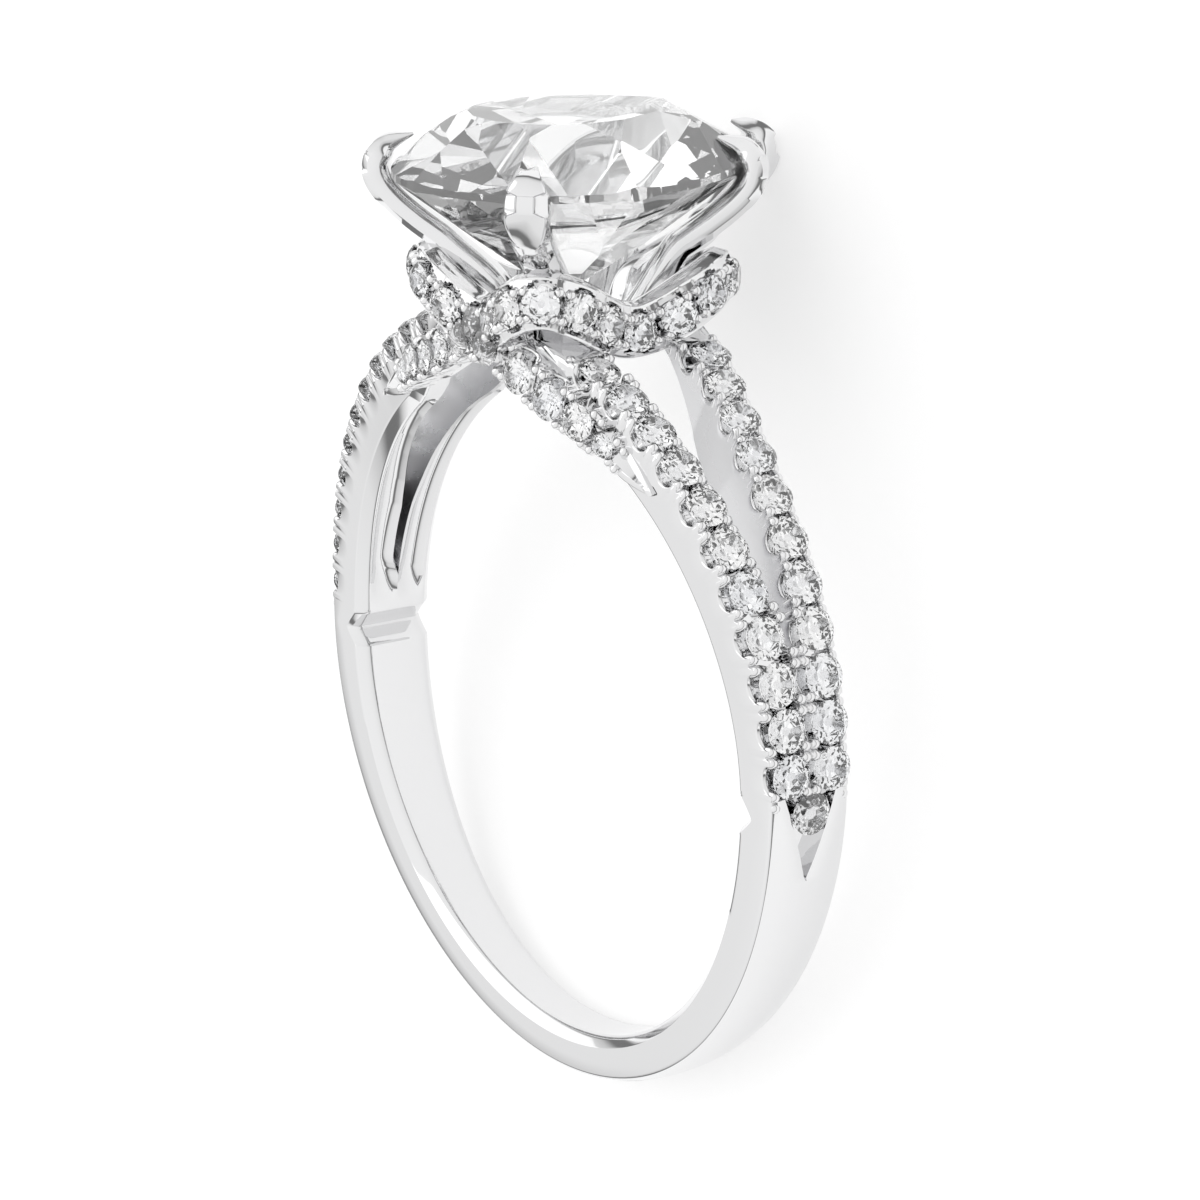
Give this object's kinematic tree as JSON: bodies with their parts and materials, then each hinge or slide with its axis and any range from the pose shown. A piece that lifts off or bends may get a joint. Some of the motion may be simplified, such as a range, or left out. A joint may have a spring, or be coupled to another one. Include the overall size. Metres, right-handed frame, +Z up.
{
  "type": "split shank ring",
  "caption": "Split shank ring in white metal: a pear-cut stone in claws over a petal-shaped collar, with rows of small stones along the split arms, the collar and the gallery.",
  "frame": {"origin": "middle of the ring's box, on the surface that it lies on", "axes": "+X across the ring, +Y from the bottom of the shank toward the stone, +Z up from the surface; the finger's axis leans 12.7 degrees from +Z, because the ring rests on the shank and on the claw at the stone's point"},
  "size_m": [0.02, 0.0246, 0.0101],
  "materials": {
    "white_metal": "polished white gold",
    "clear_stone": "clear, faceted and polished",
    "small_stones": "clear, faceted and polished"
  },
  "bodies": {
    "root": {"mount": "white_metal", "centre_stone": "clear_stone", "arm_stones_right": "small_stones", "arm_stones_left": "small_stones", "collar_stones": "small_stones", "gallery_stones_front": "small_stones", "gallery_stones_back": "small_stones"}
  },
  "joints": []
}
